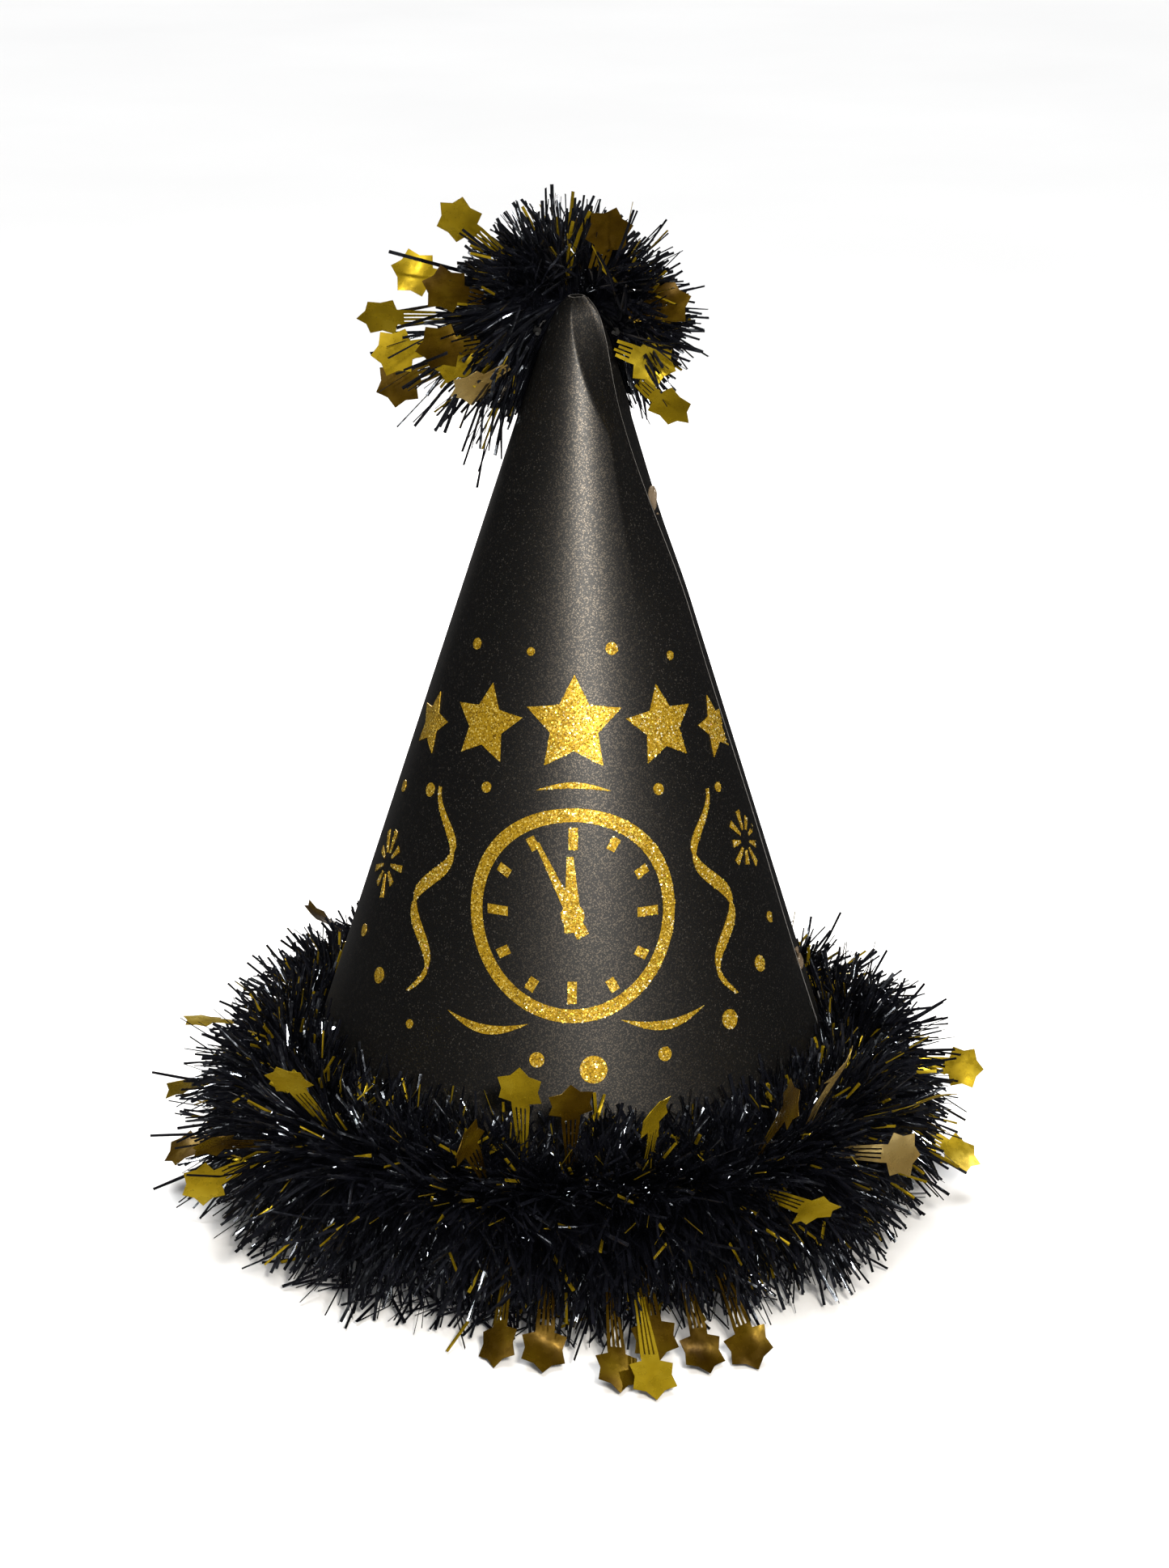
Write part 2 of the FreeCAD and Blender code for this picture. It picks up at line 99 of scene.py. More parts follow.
core_low, core_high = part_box("garland_core")
CORE_Z = (core_low.z + core_high.z) / 2
CORE_THICK = core_high.z - core_low.z
CORE_RADIUS = core_high.x - CORE_THICK / 2
pom_core_low, pom_core_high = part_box("pom_core")
pom_low, pom_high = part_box("pom_pile")
POM_RADIUS = (pom_high.x - pom_low.x) / 2
POM_MIDDLE = np.array([0.0, pom_high.y - POM_RADIUS, pom_high.z - POM_RADIUS])
POM_CORE_Z = (pom_core_low.z + pom_core_high.z) / 2
POM_CORE_RADIUS = pom_core_high.y - CORE_THICK / 2
pile_points = points_of("garland_pile")
pile_reach = np.hypot(pile_points[:, 0], pile_points[:, 1])
PILE_RADIUS = pile_reach.max() - CORE_RADIUS
PILE_Z = pile_points[pile_reach > pile_reach.max() - 0.02 * MM, 2].mean()
FOOT_RADIUS = pile_reach[pile_points[:, 2] < 0.2 * MM].min()


def card_radius(z):
    """Radius of the card's outer face where it is widest."""
    return (APEX_Z - z) * FLARE


def spin(azimuth, radius, z):
    """Points at an azimuth in degrees, a distance from the axis and a height."""
    turn = np.radians(azimuth)
    return np.stack(np.broadcast_arrays(radius * np.sin(turn), -radius * np.cos(turn), z), axis=-1)


# ---- camera
CAMERA_TILT, CAMERA_ROLL, CAMERA_DISTANCE = 19.4, 0.49, 0.75
CAMERA_LENS, SENSOR_WIDTH = 69.4, 36.0
# the camera's distance is counted from a point on the axis, this high above the brim
NEAR_RISE = 0.100
AIM = (0.0027, -0.0059, BRIM_Z + 0.0831)


def make_camera():
    """Camera that looks down at the front of the hat."""
    tilt = math.radians(CAMERA_TILT)
    back, up = CAMERA_DISTANCE * math.cos(tilt), CAMERA_DISTANCE * math.sin(tilt)
    place, aim = Vector((0, -back, BRIM_Z + NEAR_RISE + up)), Vector(AIM)
    data = bpy.data.cameras.new("camera")
    data.lens, data.sensor_width = CAMERA_LENS, SENSOR_WIDTH
    data.clip_start, data.clip_end = 0.01, 50.0
    camera = bpy.data.objects.new("camera", data)
    camera.location = place
    look = (aim - place).to_track_quat("-Z", "Y")
    camera.rotation_mode = "QUATERNION"
    camera.rotation_quaternion = look @ Quaternion((0, 0, 1), math.radians(CAMERA_ROLL))
    bpy.context.scene.collection.objects.link(camera)
    bpy.context.scene.camera = camera


make_camera()


# ---- materials
# sockets of the Mix node for colours
MIX_FACTOR, MIX_FIRST, MIX_SECOND, MIX_RESULT = 0, 6, 7, 2


class Nodes:
    """Short hand for building a material's node tree; patterns are counted per metre."""

    def __init__(self, name):
        self.material = bpy.data.materials.new(name)
        self.material.use_nodes = True
        self.tree = self.material.node_tree
        self.shader = self.tree.nodes["Principled BSDF"]

    def set(self, **sockets):
        """Uniform values on the shader's own sockets."""
        for name, value in sockets.items():
            self.shader.inputs[name.replace("_", " ")].default_value = value
        return self

    def add(self, kind, **values):
        """New node; values are its properties or the defaults of its inputs."""
        node = self.tree.nodes.new(kind)
        for key, value in values.items():
            if hasattr(node, key):
                setattr(node, key, value)
            else:
                node.inputs[key.replace("_", " ")].default_value = value
        return node

    def join(self, out, into):
        """Link between two sockets."""
        self.tree.links.new(out, into)

    def place(self):
        """Object coordinates, which stay with the piece."""
        return self.add("ShaderNodeTexCoord").outputs["Object"]

    def noise(self, scale, detail, rough):
        """Cloudy pattern of a piece."""
        node = self.add("ShaderNodeTexNoise", Scale=scale, Detail=detail, Roughness=rough)
        self.join(self.place(), node.inputs["Vector"])
        return node.outputs["Fac"]

    def cells(self, scale):
        """Cellular pattern of a piece; gives its node."""
        node = self.add("ShaderNodeTexVoronoi", Scale=scale)
        self.join(self.place(), node.inputs["Vector"])
        return node

    def ramp(self, value, *stops):
        """Colour ramp; each stop is (place, colour)."""
        node = self.add("ShaderNodeValToRGB")
        elements = node.color_ramp.elements
        while len(elements) < len(stops):
            elements.new(0.5)
        for element, (at, colour) in zip(elements, stops):
            element.position = at
            element.color = (*colour, 1.0)
        self.join(value, node.inputs["Fac"])
        return node.outputs["Color"]

    def remap(self, value, low, high, out_low, out_high):
        """Value carried from one range to another."""
        node = self.add("ShaderNodeMapRange")
        ends = {"From Min": low, "From Max": high, "To Min": out_low, "To Max": out_high}
        for key, number in ends.items():
            node.inputs[key].default_value = number
        self.join(value, node.inputs["Value"])
        return node.outputs["Result"]

    def mix(self, factor, first, second):
        """Colour between a linked one and a fixed one; the factor is linked."""
        node = self.add("ShaderNodeMix", data_type="RGBA")
        self.join(factor, node.inputs[MIX_FACTOR])
        self.join(first, node.inputs[MIX_FIRST])
        node.inputs[MIX_SECOND].default_value = (*second, 1.0)
        return node.outputs[MIX_RESULT]

    def bump(self, height, strength, distance, under=None):
        """Relief from a height, on top of another relief if there is one."""
        node = self.add("ShaderNodeBump", Strength=strength, Distance=distance)
        self.join(height, node.inputs["Height"])
        if under:
            self.join(under, node.inputs["Normal"])
        return node.outputs["Normal"]

    def into(self, **sockets):
        """Links to the shader's sockets; gives the finished material."""
        for name, value in sockets.items():
            self.join(value, self.shader.inputs[name.replace("_", " ")])
        return self.material


def card_material():
    """Black card with a pearly coat: fine metallic grains in a satin face."""
    made = Nodes("pearl_black_card").set(IOR=1.5, Specular_IOR_Level=0.40)
    grain = made.cells(4200.0)
    black, white = (0, 0, 0), (1, 1, 1)
    fleck = made.ramp(grain.outputs["Color"], (0.0, black), (0.66, black), (0.70, white))
    cloud = made.noise(38.0, 5.0, 0.6)
    dark, less_dark = (0.0017, 0.0017, 0.0018), (0.0026, 0.0025, 0.0025)
    base = made.ramp(cloud, (0.3, dark), (0.7, less_dark))
    colour = made.mix(fleck, base, (0.086, 0.077, 0.066))
    rough = made.remap(grain.outputs["Distance"], 0.0, 0.5, 0.35, 0.47)
    height = made.noise(1900.0, 2.0, 0.6)
    wave = made.noise(60.0, 2.0, 0.4)
    fine = made.bump(height, 0.45, 0.00004)
    relief = made.bump(wave, 0.10, 0.0006, fine)
    return made.into(Base_Color=colour, Metallic=fleck, Roughness=rough, Normal=relief)


def matt_material(name, roughness, grain, dark, pale, strength):
    """Matt fibres, unevenly tinted between two stops; the grain is (scale, detail, rough)."""
    made = Nodes(name).set(Roughness=roughness)
    grain = made.noise(*grain)
    colour = made.ramp(grain, dark, pale)
    return made.into(Base_Color=colour, Normal=made.bump(grain, strength, 0.0001))


def tinsel_material():
    """Black glossy film with faint scratches."""
    made = Nodes("black_film").set(IOR=1.5, Specular_IOR_Level=0.75)
    streak = made.noise(900.0, 2.0, 0.5)
    tone = made.noise(160.0, 2.0, 0.5)
    dark, less_dark = (0.0012, 0.0012, 0.0016), (0.0045, 0.0045, 0.0062)
    colour = made.ramp(tone, (0.35, dark), (0.7, less_dark))
    rough = made.remap(streak, 0.3, 0.7, 0.07, 0.22)
    relief = made.bump(streak, 0.2, 0.00005)
    return made.into(Base_Color=colour, Roughness=rough, Normal=relief)


def film_material(name, deep, mid, bright, rough):
    """Metallised film: unevenly tinted, with a slightly crinkled shine."""
    made = Nodes(name).set(Metallic=0.60, Specular_IOR_Level=0.10)
    tint = made.noise(95.0, 3.0, 0.5)
    colour = made.ramp(tint, (0.30, deep), (0.52, mid), (0.78, bright))
    crinkle = made.noise(420.0, 3.0, 0.55)
    swell = made.noise(130.0, 1.0, 0.4)
    roughness = made.remap(crinkle, 0.3, 0.7, rough - 0.08, rough + 0.10)
    fine = made.bump(crinkle, 0.25, 0.00012)
    relief = made.bump(swell, 0.35, 0.0007, fine)
    return made.into(Base_Color=colour, Roughness=roughness, Normal=relief)


def glitter_material(name, deep, mid, bright, rough):
    """Packed glitter flakes, each its own tone and tilt."""
    made = Nodes(name).set(Metallic=0.60)
    flakes = made.cells(3000.0)
    tone = made.add("ShaderNodeSeparateColor")
    made.join(flakes.outputs["Color"], tone.inputs["Color"])
    colour = made.ramp(tone.outputs["Red"], (0.0, deep), (0.45, mid), (0.80, mid), (1.0, bright))
    roughness = made.remap(tone.outputs["Green"], 0.0, 1.0, rough - 0.10, rough + 0.15)
    tilt = made.bump(tone.outputs["Blue"], 0.8, 0.0002)
    return made.into(Base_Color=colour, Roughness=roughness, Normal=tilt)


def clear_material(name, deep, bright, clarity, rough):
    """Glue or tape: more or less clear, and unevenly tinted."""
    made = Nodes(name).set(IOR=1.48, Transmission_Weight=clarity)
    cloud = made.noise(420.0, 3.0, 0.5)
    colour = made.ramp(cloud, (0.3, deep), (0.7, bright))
    roughness = made.remap(cloud, 0.3, 0.7, rough, rough + 0.15)
    relief = made.bump(cloud, 0.3, 0.0003)
    return made.into(Base_Color=colour, Roughness=roughness, Normal=relief)


def floor_material():
    """Plain pale table."""
    made = Nodes("pale_floor").set(Roughness=0.8)
    mottle = made.noise(3.0, 3.0, 0.5)
    pale, paler = (0.80, 0.80, 0.80), (0.83, 0.83, 0.83)
    return made.into(Base_Color=made.ramp(mottle, (0.3, pale), (0.7, paler)))


CARD, TINSEL = card_material(), tinsel_material()
# grey of the card's cut edges, which also paints a highlight line along the flap's free edge
CARD_EDGE_AND_HIGHLIGHT = matt_material("card_cut_edge_and_highlight", 0.85, (1400.0, 6.0, 0.7),
                          (0.35, (0.060, 0.057, 0.053)), (0.7, (0.17, 0.16, 0.15)), 0.5)
THREAD = matt_material("twisted_thread", 0.8, (2500.0, 4.0, 0.7),
                       (0.3, (0.0025, 0.0025, 0.003)), (0.7, (0.008, 0.008, 0.008)), 0.6)
GOLD_FILM = film_material(
    "gold_film", (0.16, 0.100, 0.003), (0.26, 0.166, 0.005), (0.36, 0.25, 0.016), 0.28)
# darker and lighter copies of the gold film: painted shade and painted reflection, given star by
# star
SHADED_GOLD_FILM = film_material(
    "amber_film", (0.026, 0.012, 0.0005), (0.060, 0.031, 0.0010), (0.125, 0.075, 0.003), 0.26)
LIT_GOLD_FILM = film_material(
    "pale_film", (0.22, 0.135, 0.035), (0.31, 0.205, 0.062), (0.42, 0.31, 0.125), 0.30)
GLITTER = glitter_material(
    "gold_glitter", (0.13, 0.070, 0.003), (0.40, 0.24, 0.010), (0.80, 0.62, 0.16), 0.36)
FLAKE_GOLD = glitter_material(
    "flake_gold", (0.28, 0.16, 0.007), (0.52, 0.33, 0.022), (0.85, 0.66, 0.18), 0.24)
FLAKE_PALE = glitter_material(
    "flake_pale", (0.85, 0.70, 0.30), (0.98, 0.92, 0.62), (1.0, 1.0, 0.85), 0.20)
FLAKE_HUES = glitter_material(
    "flake_hues", (0.60, 0.20, 0.08), (0.55, 0.62, 0.12), (0.90, 0.45, 0.40), 0.22)
GLUE = clear_material("clear_glue", (0.085, 0.062, 0.038), (0.16, 0.12, 0.08), 0.2, 0.14)
DULL_GLUE = clear_material(
    "dull_glue", (0.004, 0.004, 0.004), (0.009, 0.008, 0.008), 0.0, 0.80)
TAPE = clear_material("clear_tape", (0.70, 0.66, 0.56), (0.85, 0.81, 0.70), 0.5, 0.25)


# ---- mesh helpers
def make_piece(name, verts, faces, materials, kinds=None):
    """Mesh object that rides on the hat's only body; kinds are its faces' materials."""
    mesh = bpy.data.meshes.new(name)
    mesh.from_pydata(np.asarray(verts).tolist(), [], [tuple(face) for face in faces])
    for material in materials:
        mesh.materials.append(material)
    mesh.validate()
    if kinds is not None:
        mesh.polygons.foreach_set("material_index", np.asarray(kinds, np.int32))
    piece = bpy.data.objects.new(name, mesh)
    bpy.context.scene.collection.objects.link(piece)
    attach(piece, ROOT)
    return piece


def smooth(piece, degrees=180.0):
    """Smooth shading, with sharp edges where faces meet at more than an angle."""
    piece.data.polygons.foreach_set("use_smooth", np.ones(len(piece.data.polygons), bool))
    if degrees < 180.0:
        piece.data.set_sharp_from_angle(angle=math.radians(degrees))


def circles(middle, side, other, radius, sides):
    """Points of a circle about each middle, in the plane of two directions."""
    turns = 2 * np.pi * np.arange(sides) / sides
    across = np.cos(turns)[None, :, None] * side[:, None]
    across = across + np.sin(turns)[None, :, None] * other[:, None]
    return middle[:, None] + radius * across


def tube(path, radius, sides):
    """Vertices and faces of a tube along a path of points."""
    ahead = np.vstack([path[1:], 2 * path[-1] - path[-2]])
    behind = np.vstack([2 * path[0] - path[1], path[:-1]])
    along = unit(ahead - behind)
    side = unit(np.cross(along, (0.13, 0.21, 0.97)))
    other = np.cross(along, side)
    loops = circles(path, side, other, radius, sides)
    faces = []
    last = (len(path) - 1) * sides
    for first in range(0, last, sides):
        for corner in range(sides):
            a, b = first + corner, first + (corner + 1) % sides
            faces.append((a, b, b + sides, a + sides))
    faces += [tuple(range(sides))[::-1], tuple(range(last, last + sides))]
    return loops.reshape(-1, 3), faces


def grid_quads(columns, rows):
    """Faces between points that are laid out column by column."""
    corners = [column * rows + row for column in range(columns - 1) for row in range(rows - 1)]
    return [(a, a + rows, a + rows + 1, a + 1) for a in corners]


def closed_sheet(front, back, faces):
    """Closed sheet between two matching surfaces: front faces, back faces, then the rim."""
    count = len(front)
    verts = np.vstack([front, back])
    # a dict keeps the edges in order
    used = {(a, b): True for face in faces for a, b in zip(face, face[1:] + face[:1])}
    faces = list(faces) + [tuple(corner + count for corner in face[::-1]) for face in faces]
    faces += [(b, a, a + count, b + count) for a, b in used if (b, a) not in used]
    return verts, faces


def merged(parts):
    """One list of vertices and faces from several."""
    verts, faces, start = [], [], 0
    for part_verts, part_faces in parts:
        verts.append(part_verts)
        faces += [tuple(corner + start for corner in face) for face in part_faces]
        start += len(part_verts)
    return np.vstack(verts), faces


# ---- the card
# the crease: a flat facet to the right of a ridge, which turns to the front near the tip
FACET_LOW, FACET_HIGH = TIP_Z - 75 * MM, TIP_Z - 22 * MM
FACET_FLATNESS, FACET_HALF = 0.85, 38.0
RIDGE_AZIMUTH, RIDGE_TURN, RIDGE_TURN_LENGTH = 33.0, 55.0, 30 * MM
TIP_LEAST_RADIUS = 1.7 * MM


def along_tip(z, length):
    """From 0 to 1 over the last stretch of the card below its tip."""
    return np.clip((z - (TIP_Z - length)) / length, 0, 1)


def facet_depth(azimuth, z):
    """How far the card lies inside a true cone, where it is creased flat near its tip."""
    part = np.clip((z - FACET_LOW) / (FACET_HIGH - FACET_LOW), 0, 1)
    weight = FACET_FLATNESS * part * part * (3 - 2 * part)
    ridge = RIDGE_AZIMUTH - RIDGE_TURN * along_tip(z, RIDGE_TURN_LENGTH)
    off_middle = np.abs((azimuth - ridge - FACET_HALF + 180.0) % 360.0 - 180.0)
    chord = math.cos(math.radians(FACET_HALF))
    chord = chord / np.cos(np.radians(np.minimum(off_middle, FACET_HALF)))
    pinch = 0.28 * along_tip(z, 12 * MM) ** 2 + 0.24 * along_tip(z, 3 * MM) ** 1.6
    depth = (weight * (1 - chord) + pinch) * card_radius(z)
    return np.minimum(depth, card_radius(z) - TIP_LEAST_RADIUS)


def flap_end(z):
    """Turn at which the outer layer ends; its edge runs a little askew."""
    return 360.0 + FLAP_LIMIT - np.degrees(FLAP_SKEW / np.hypot(card_radius(z), FLAP_EASE))


def sheet_radius(turn, z):
    """Radius of the rolled sheet's outer face; turn runs on past a full circle."""
    end = 360.0 + FLAP_AZIMUTH
    return card_radius(z) - SPIRAL_PITCH * (end - turn) / 360.0 - facet_depth(turn, z)


def make_card():
    """Rolled sheet: outer face, inner face and cut edges, wound as one spiral."""
    start = FLAP_AZIMUTH - FLAP_OVERLAP
    columns, rows = 257, 141
    face, edge_and_highlight = 0, 1
    # rows lie closer together near the tip, where the crease is
    height = BRIM_Z + (TIP_Z - BRIM_Z) * np.linspace(0, 1, rows)[None, :] ** 0.9
    end = flap_end(height)
    # the last column is narrow: a strip of the outer face along the free edge, in the grey of the
    # cut edge; partly the card's grey core, partly a painted highlight where the edge catches the
    # light
    part = np.append(np.linspace(0, 0.9985, columns - 1), 1.0)
    turn = start + (end - start) * part[:, None]
    # the free edge of the outer layer lifts a little between its glue spots
    lifted = 14.0
    lift = np.clip((turn - end + lifted) / lifted, 0, 1) ** 2
    lift = lift * (0.20 + 0.30 * np.sin(height * 45.0) ** 2) * MM
    radius = sheet_radius(turn, height) + lift
    outer = spin(turn, radius, height)
    inner = spin(turn, radius - CARD_THICK, height)
    quads = grid_quads(columns, rows)
    verts, faces = closed_sheet(outer.reshape(-1, 3), inner.reshape(-1, 3), quads)
    # the last column of the outer face is that painted highlight strip; the whole rim is cut edge
    kinds = np.full(len(faces), edge_and_highlight)
    kinds[:len(quads) - (rows - 1)] = face
    kinds[len(quads):2 * len(quads)] = face
    piece = make_piece("card_cone", verts, faces, [CARD, CARD_EDGE_AND_HIGHLIGHT], kinds)
    smooth(piece, 50)
    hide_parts("cone_card")


# ---- tinsel strands
STRAND_STEPS = 4
STRIP_WIDTH = 0.95 * MM
# how far the fold of a strip stands proud, as a share of half its width
FOLD_DEPTH = 0.42
# numbers of fans, and of the strands in each
BRIM_FANS, BRIM_GOLD_END_FANS, BRIM_GOLD_FANS = (2950, 5), (240, 2), (26, 2)
POM_FANS, POM_GOLD_FANS, POM_GROUP_FAN = (500, 5), (14, 3), 4
COVER_FANS_PER_STAR, COVER_FAN = 13, 4
BRIM_TUFTS, BRIM_SECTORS = 190, 8


def clear_of_hat(points, layer):
    """Points moved to clear the table, the card and the space inside the hat.

    A layer from 0 to 1 keeps strands that lie against the same thing apart.
    """
    points = points.copy()
    points[:, 2] = np.maximum(points[:, 2], 0.6 * MM + 1.2 * MM * layer)
    reach = np.hypot(points[:, 0], points[:, 1])
    beside = points[:, 2] > BRIM_Z - 1.2 * MM
    wall = card_radius(points[:, 2]) + (0.7 + 1.6 * layer) * MM
    throat = FOOT_RADIUS + (BRIM_RADIUS - FOOT_RADIUS) * points[:, 2] / BRIM_Z * 0.6
    least = np.where(beside, wall, throat + 1.5 * MM * layer)
    grow = np.maximum(least / np.maximum(reach, 1e-6), 1.0)
    points[:, :2] *= grow[:, None]
    return points


def curls(rng, scatter, clusters, fan):
    """Turn of each strand's heading at each step: its own, and that of its fan."""
    own = rng.normal(0, scatter, (clusters * fan, 3))
    return own + np.repeat(rng.normal(0, 0.08, (clusters, 3)), fan, axis=0)


def grow_strands(start, heading, length, layer, droop, curl, clearing):
    """Centre lines of strands: they start straight, droop and curl, and stay clear."""
    line = [start]
    heading = unit(heading)
    step = (length / STRAND_STEPS)[:, None]
    for _ in range(STRAND_STEPS):
        heading = unit(heading + curl - UP * droop[:, None])
        point = clearing(line[-1] + heading * step, layer)
        heading = unit(point - line[-1])
        point = clearing(line[-1] + heading * step, layer)
        line.append(point)
    return np.stack(line, axis=1)


def film_strips(lines, width, roll, twist):
    """Closed strips of folded film along centre lines: three corners at each point."""
    count, places, _ = lines.shape
    along = np.empty_like(lines)
    along[:, 1:-1] = lines[:, 2:] - lines[:, :-2]
    along[:, 0] = lines[:, 1] - lines[:, 0]
    along[:, -1] = lines[:, -1] - lines[:, -2]
    along = unit(along)
    side = unit(np.cross(along, np.array([0.11, 0.23, 0.96])))
    other = np.cross(along, side)
    turn = roll[:, None] + twist[:, None] * np.linspace(0, 1, places)[None, :]
    flat = np.cos(turn)[..., None] * side + np.sin(turn)[..., None] * other
    proud = np.cross(along, flat)
    taper = np.linspace(1.0, 0.8, places)[None, :, None]
    half = width[:, None, None] * taper / 2
    fold = lines + proud * half * FOLD_DEPTH
    corners = np.stack([lines + flat * half, fold, lines - flat * half], axis=2)
    first = (np.arange(count) * places * 3)[:, None, None]
    ring = (np.arange(places - 1) * 3)[None, :, None]
    edge = np.arange(3)[None, None, :]
    beside = (edge + 1) % 3
    a, b = first + ring + edge, first + ring + beside
    quads = np.stack([a, b, b + 3, a + 3], axis=-1).reshape(-1, 4)
    root = first[:, 0] + np.array([2, 1, 0])
    tip = first[:, 0] + (places - 1) * 3 + np.array([0, 1, 2])
    return corners.reshape(-1, 3), quads.tolist() + root.tolist() + tip.tolist()


def strand_piece(name, lines, rng, material, node, gold_share=0.0):
    """Piece made of many film strips; on a share of them the last stretch is gold."""
    count, places = lines.shape[:2]
    width = STRIP_WIDTH * rng.uniform(0.75, 1.15, count)
    roll, twist = rng.uniform(0, 2 * np.pi, count), rng.normal(0, 1.1, count)
    verts, faces = film_strips(lines, width, roll, twist)
    gold = np.zeros((count, places - 1, 3), int)
    gold[rng.uniform(0, 1, count) < gold_share, -1] = 1
    # after the sides come the ends at the root, then those at the tip
    kinds = np.concatenate([gold.ravel(), np.zeros(count, int), gold[:, -1, 0]])
    piece = make_piece(name, verts, faces, [material, GOLD_FILM], kinds)
    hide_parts(node)


def reach_to_ball(start, heading, middle, radius):
    """Distance from points inside a ball to its surface along their headings."""
    offset = start - middle
    along = np.einsum("ij,ij->i", offset, heading)
    inside = along**2 - np.einsum("ij,ij->i", offset, offset) + radius**2
    return -along + np.sqrt(np.maximum(inside, 0))


def brim_fans(rng, azimuth, lean, sway, reach, fan):
    """Centre lines of the brim's strands: small fans of film that leave the core together.

    A lean is counted from outward to up; sway turns a fan along the ring.
    """
    clusters = len(azimuth)
    count = clusters * fan
    offset = np.tile(np.arange(fan) - (fan - 1) / 2, clusters)
    azimuth = np.repeat(azimuth, fan) + offset * np.degrees(0.8 * MM / CORE_RADIUS)
    lean = np.radians(np.repeat(lean, fan) + rng.normal(0, 7.0, count))
    sway = np.repeat(sway, fan) + rng.normal(0, 0.12, count) + offset * 0.04
    out, round_ring = spin(azimuth, 1.0, 0.0), spin(azimuth + 90.0, 1.0, 0.0)
    heading = np.cos(lean)[:, None] * out + np.sin(lean)[:, None] * UP
    heading = unit(heading + sway[:, None] * round_ring)
    start = spin(azimuth, CORE_RADIUS, CORE_Z) + heading * CORE_THICK * 0.3
    middle = spin(azimuth, CORE_RADIUS, PILE_Z)
    spread = np.repeat(reach + rng.normal(0, 0.10, clusters), fan) + rng.normal(0, 0.08, count)
    length = reach_to_ball(start, heading, middle, PILE_RADIUS) * spread
    layer = rng.uniform(0, 1, count)
    # strands to the right droop a little more
    rightward = np.clip(np.sin(np.radians(azimuth)), 0, 1)
    droop = np.abs(rng.normal(0.05, 0.04, count)) + 0.05 * rightward
    curl = curls(rng, 0.07, clusters, fan)
    return grow_strands(start, heading, length, layer, droop, curl, clear_of_hat), azimuth


def brim_lines(rng, clusters, fan, upward=0.0):
    """Strands all round the brim, whose fans lean towards common tufts, long and short.

    upward is the share that stands up beside the card.
    """
    tuft_azimuth = rng.uniform(0, 360, BRIM_TUFTS)
    tuft_lean = rng.uniform(-180, 180, BRIM_TUFTS)
    tuft_reach = rng.uniform(0.86, 1.22, BRIM_TUFTS)
    azimuth = rng.uniform(0, 360, clusters)
    lean = rng.uniform(-180, 180, clusters)
    beside_card = rng.uniform(0, 1, clusters) < upward
    lean = np.where(beside_card, rng.uniform(75, 112, clusters), lean)
    apart = np.abs((azimuth[:, None] - tuft_azimuth + 180) % 360 - 180) * 0.9
    apart = np.hypot(apart, np.abs((lean[:, None] - tuft_lean + 180) % 360 - 180) * 0.35)
    nearest = apart.argmin(1)
    pull = rng.uniform(0.15, 0.9, clusters)
    lean = lean + pull * ((tuft_lean[nearest] - lean + 180) % 360 - 180) * ~beside_card
    sideways = pull * ((tuft_azimuth[nearest] - azimuth + 180) % 360 - 180)
    sway = np.radians(2.8 * sideways) + rng.normal(0, 0.34, clusters)
    return brim_fans(rng, azimuth, lean, sway, tuft_reach[nearest], fan)


def stem_cover(rng):
    """Strands that stand round the stems of the brim's stars."""
    azimuths, leans, reaches = [], [], []
    for node in nodes:
        if node.startswith("brim_star"):
            away = star_frame(node)[0]
            azimuth = math.degrees(math.atan2(away[0], -away[1]))
            rise = away[2] - CORE_Z
            out = math.hypot(away[0], away[1]) - CORE_RADIUS
            lean = math.degrees(math.atan2(rise, out))
            fans = COVER_FANS_PER_STAR
            azimuths += list(azimuth + rng.normal(0, 4.5, fans))
            leans += list(lean + rng.uniform(-34, 2, fans) * (1 if lean > 0 else -0.6))
            reaches += [1.14 if lean > 0 else 1.04] * fans
    leans = np.array(leans)
    sway = rng.normal(0, 0.16, len(leans))
    return brim_fans(rng, np.array(azimuths), leans, sway, np.array(reaches), COVER_FAN)


def clear_of_stars(lines, stars):
    """Strands whose ends cover a star's face are drawn back towards their roots."""
    lines = lines.copy()
    end_clearance, last_bend_clearance, kept = 7.5 * MM, 6.0 * MM, 0.72
    for centre in stars:
        near = np.linalg.norm(lines[:, -1] - centre, axis=1) < end_clearance
        near |= np.linalg.norm(lines[:, -2] - centre, axis=1) < last_bend_clearance
        root = lines[near, :1]
        lines[near] = root + (lines[near] - root) * kept
    return lines


def make_brim_tinsel():
    """Brim garland in sectors, then its gold strands."""
    rng = np.random.default_rng(11)
    stars = [star_frame(node)[0] for node in nodes if node.startswith("brim_star")]
    lines, azimuth = brim_lines(rng, *BRIM_FANS)
    cover, beside = stem_cover(rng)
    lines = clear_of_stars(np.concatenate([lines, cover]), stars)
    azimuth = np.concatenate([azimuth, beside])
    sector = np.floor((azimuth % 360.0) / (360.0 / BRIM_SECTORS)).astype(int)
    for number in range(BRIM_SECTORS):
        strand_piece(f"brim_tinsel_{number + 1}", lines[sector == number], rng, TINSEL,
                     "garland_pile", gold_share=0.02)
    lines, _ = brim_lines(rng, *BRIM_GOLD_END_FANS, upward=0.45)
    strand_piece("brim_gold_ends", lines, rng, TINSEL,
                 "garland_pile", gold_share=0.85)
    lines, _ = brim_lines(rng, *BRIM_GOLD_FANS, upward=0.5)
    strand_piece("brim_gold_strands", lines, rng, GOLD_FILM, "garland_pile")


